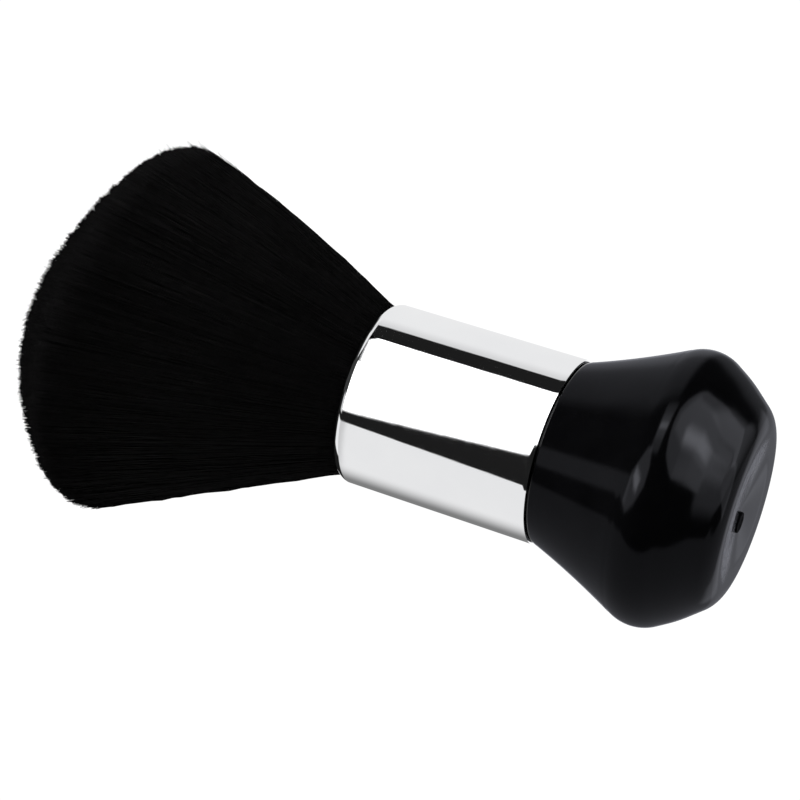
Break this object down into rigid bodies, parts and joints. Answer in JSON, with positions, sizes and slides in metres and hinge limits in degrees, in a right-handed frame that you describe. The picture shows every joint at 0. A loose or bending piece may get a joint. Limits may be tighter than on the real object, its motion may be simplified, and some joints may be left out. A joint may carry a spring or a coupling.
{
  "type": "neck duster brush",
  "caption": "Barber's neck duster: a glossy black knob handle, a bright metal ferrule and a wide flared tuft of soft black fibres for brushing cut hair off the neck.",
  "frame": {"origin": "centre of the flat ring on the handle's base, the lowest point of the standing brush", "axes": "+Z along the brush's axis from the handle's base towards the crown of the tuft; X and Y across it, and the brush is turned about Z"},
  "size_m": [0.0738, 0.0738, 0.142],
  "materials": {
    "handle_plastic": "black, high gloss, faintly uneven as moulded",
    "bright_metal": "mirror bright, with a faint drawn grain along the tube",
    "bristle_fibre": "fine black synthetic fibres with a soft sheen",
    "resin": "cured amber resin",
    "glue": "cured glue",
    "core_wood": "plain turned wood",
    "binding_cord": "twisted cord"
  },
  "bodies": {
    "root": {"handle": "handle_plastic", "tenon_glue": "glue", "ferrule": "bright_metal", "root_resin": "resin", "core_plug": "core_wood", "root_binding": "binding_cord", "bristle_tuft": "bristle_fibre"}
  },
  "joints": []
}
